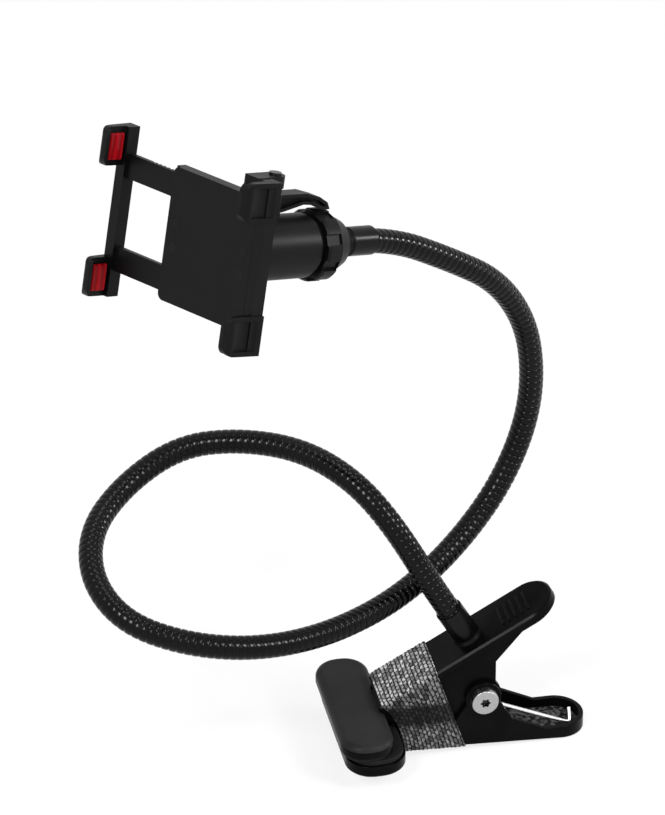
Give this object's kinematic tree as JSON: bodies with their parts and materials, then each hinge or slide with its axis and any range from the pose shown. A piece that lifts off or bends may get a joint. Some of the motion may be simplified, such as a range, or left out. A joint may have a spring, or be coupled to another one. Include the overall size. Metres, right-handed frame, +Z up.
{
  "type": "bed phone holder",
  "caption": "Phone holder with a sprung clamp for a bed or desk edge, a bendable ribbed arm, a lockable ball joint and a clip with soft fingers.",
  "frame": {"origin": "middle of the closed grip between the clamp's two jaw pads", "axes": "+X from the jaws to the handles, +Y along the pivot screw away from its head, +Z up"},
  "size_m": [0.2052, 0.1102, 0.2895],
  "materials": {
    "black_plastic": "satin black",
    "satin_plastic": "satin black",
    "pad_rubber": "matte",
    "red_rubber": "satin red",
    "steel": "bright",
    "black_metal": "satin black",
    "arm_coat": "gloss black",
    "band_knit": "heathered knit"
  },
  "bodies": {
    "clamp": {"upper_lever": "black_plastic", "upper_jaw_pad": "pad_rubber", "pivot_screw": "steel", "pivot_nut": "steel", "torsion_spring": "steel", "elastic_band": "band_knit", "arm_base_ferrule": "black_metal", "arm_base_screw": "steel", "gooseneck": "arm_coat"},
    "lower_clamp": {"lower_lever": "black_plastic", "lower_jaw_pad": "pad_rubber"},
    "arm_end": {"arm_end_ferrule": "black_metal", "ball_stud": "black_metal"},
    "seat": {"ball_seat": "black_plastic"},
    "clip": {"clip_body": "satin_plastic", "face_plate": "satin_plastic", "face_screws": "black_metal", "lever_pin": "steel", "lever_spring": "steel", "upper_right_finger_pad": "red_rubber", "lower_right_finger_pad": "red_rubber"},
    "ring": {"lock_ring": "black_plastic"},
    "jaw": {"slide_jaw": "satin_plastic", "upper_left_finger_pad": "red_rubber", "lower_left_finger_pad": "red_rubber"},
    "release": {"release_lever": "satin_plastic"}
  },
  "joints": [
    {"name": "clamp_hinge", "type": "hinge", "parent": "clamp", "child": "lower_clamp", "pos_m": [0.052, 0, 0.0095], "axis": [0, -1, 0], "range_deg": [0, 40], "stiffness_Nm_per_rad": 1.5, "springref_deg": -28.65, "deforming": ["torsion_spring", "elastic_band"]},
    {"name": "arm_bend", "type": "hinge", "parent": "clamp", "child": "arm_end", "pos_m": [0.082, 0.047, 0.145], "axis": [0, 1, 0], "range_deg": [-15, 15], "deforming": ["gooseneck"]},
    {"name": "ball_tilt", "type": "hinge", "parent": "arm_end", "child": "seat", "pos_m": [-0.015, 0.003, 0.227], "axis": [0.4857, -0.8616, 0.1475], "range_deg": [-15, 15]},
    {"name": "ball_swivel", "type": "hinge", "parent": "seat", "child": "clip", "pos_m": [-0.015, 0.003, 0.227], "axis": [0.8516, 0.4283, -0.3024], "range_deg": [-90, 90]},
    {"name": "ring_turn", "type": "hinge", "parent": "clip", "child": "ring", "pos_m": [-0.015, 0.003, 0.227], "axis": [0.8516, 0.4283, -0.3024], "range_deg": [0, 120]},
    {"name": "jaw_slide", "type": "slide", "parent": "clip", "child": "jaw", "axis": [0.4857, -0.8616, 0.1475], "range_m": [0, 0.026]},
    {"name": "release_swing", "type": "hinge", "parent": "clip", "child": "release", "pos_m": [-0.03319, -0.00269, 0.2537], "axis": [-0.1974, -0.2724, -0.9417], "range_deg": [0, 8], "stiffness_Nm_per_rad": 0.05, "springref_deg": -11.46}
  ]
}
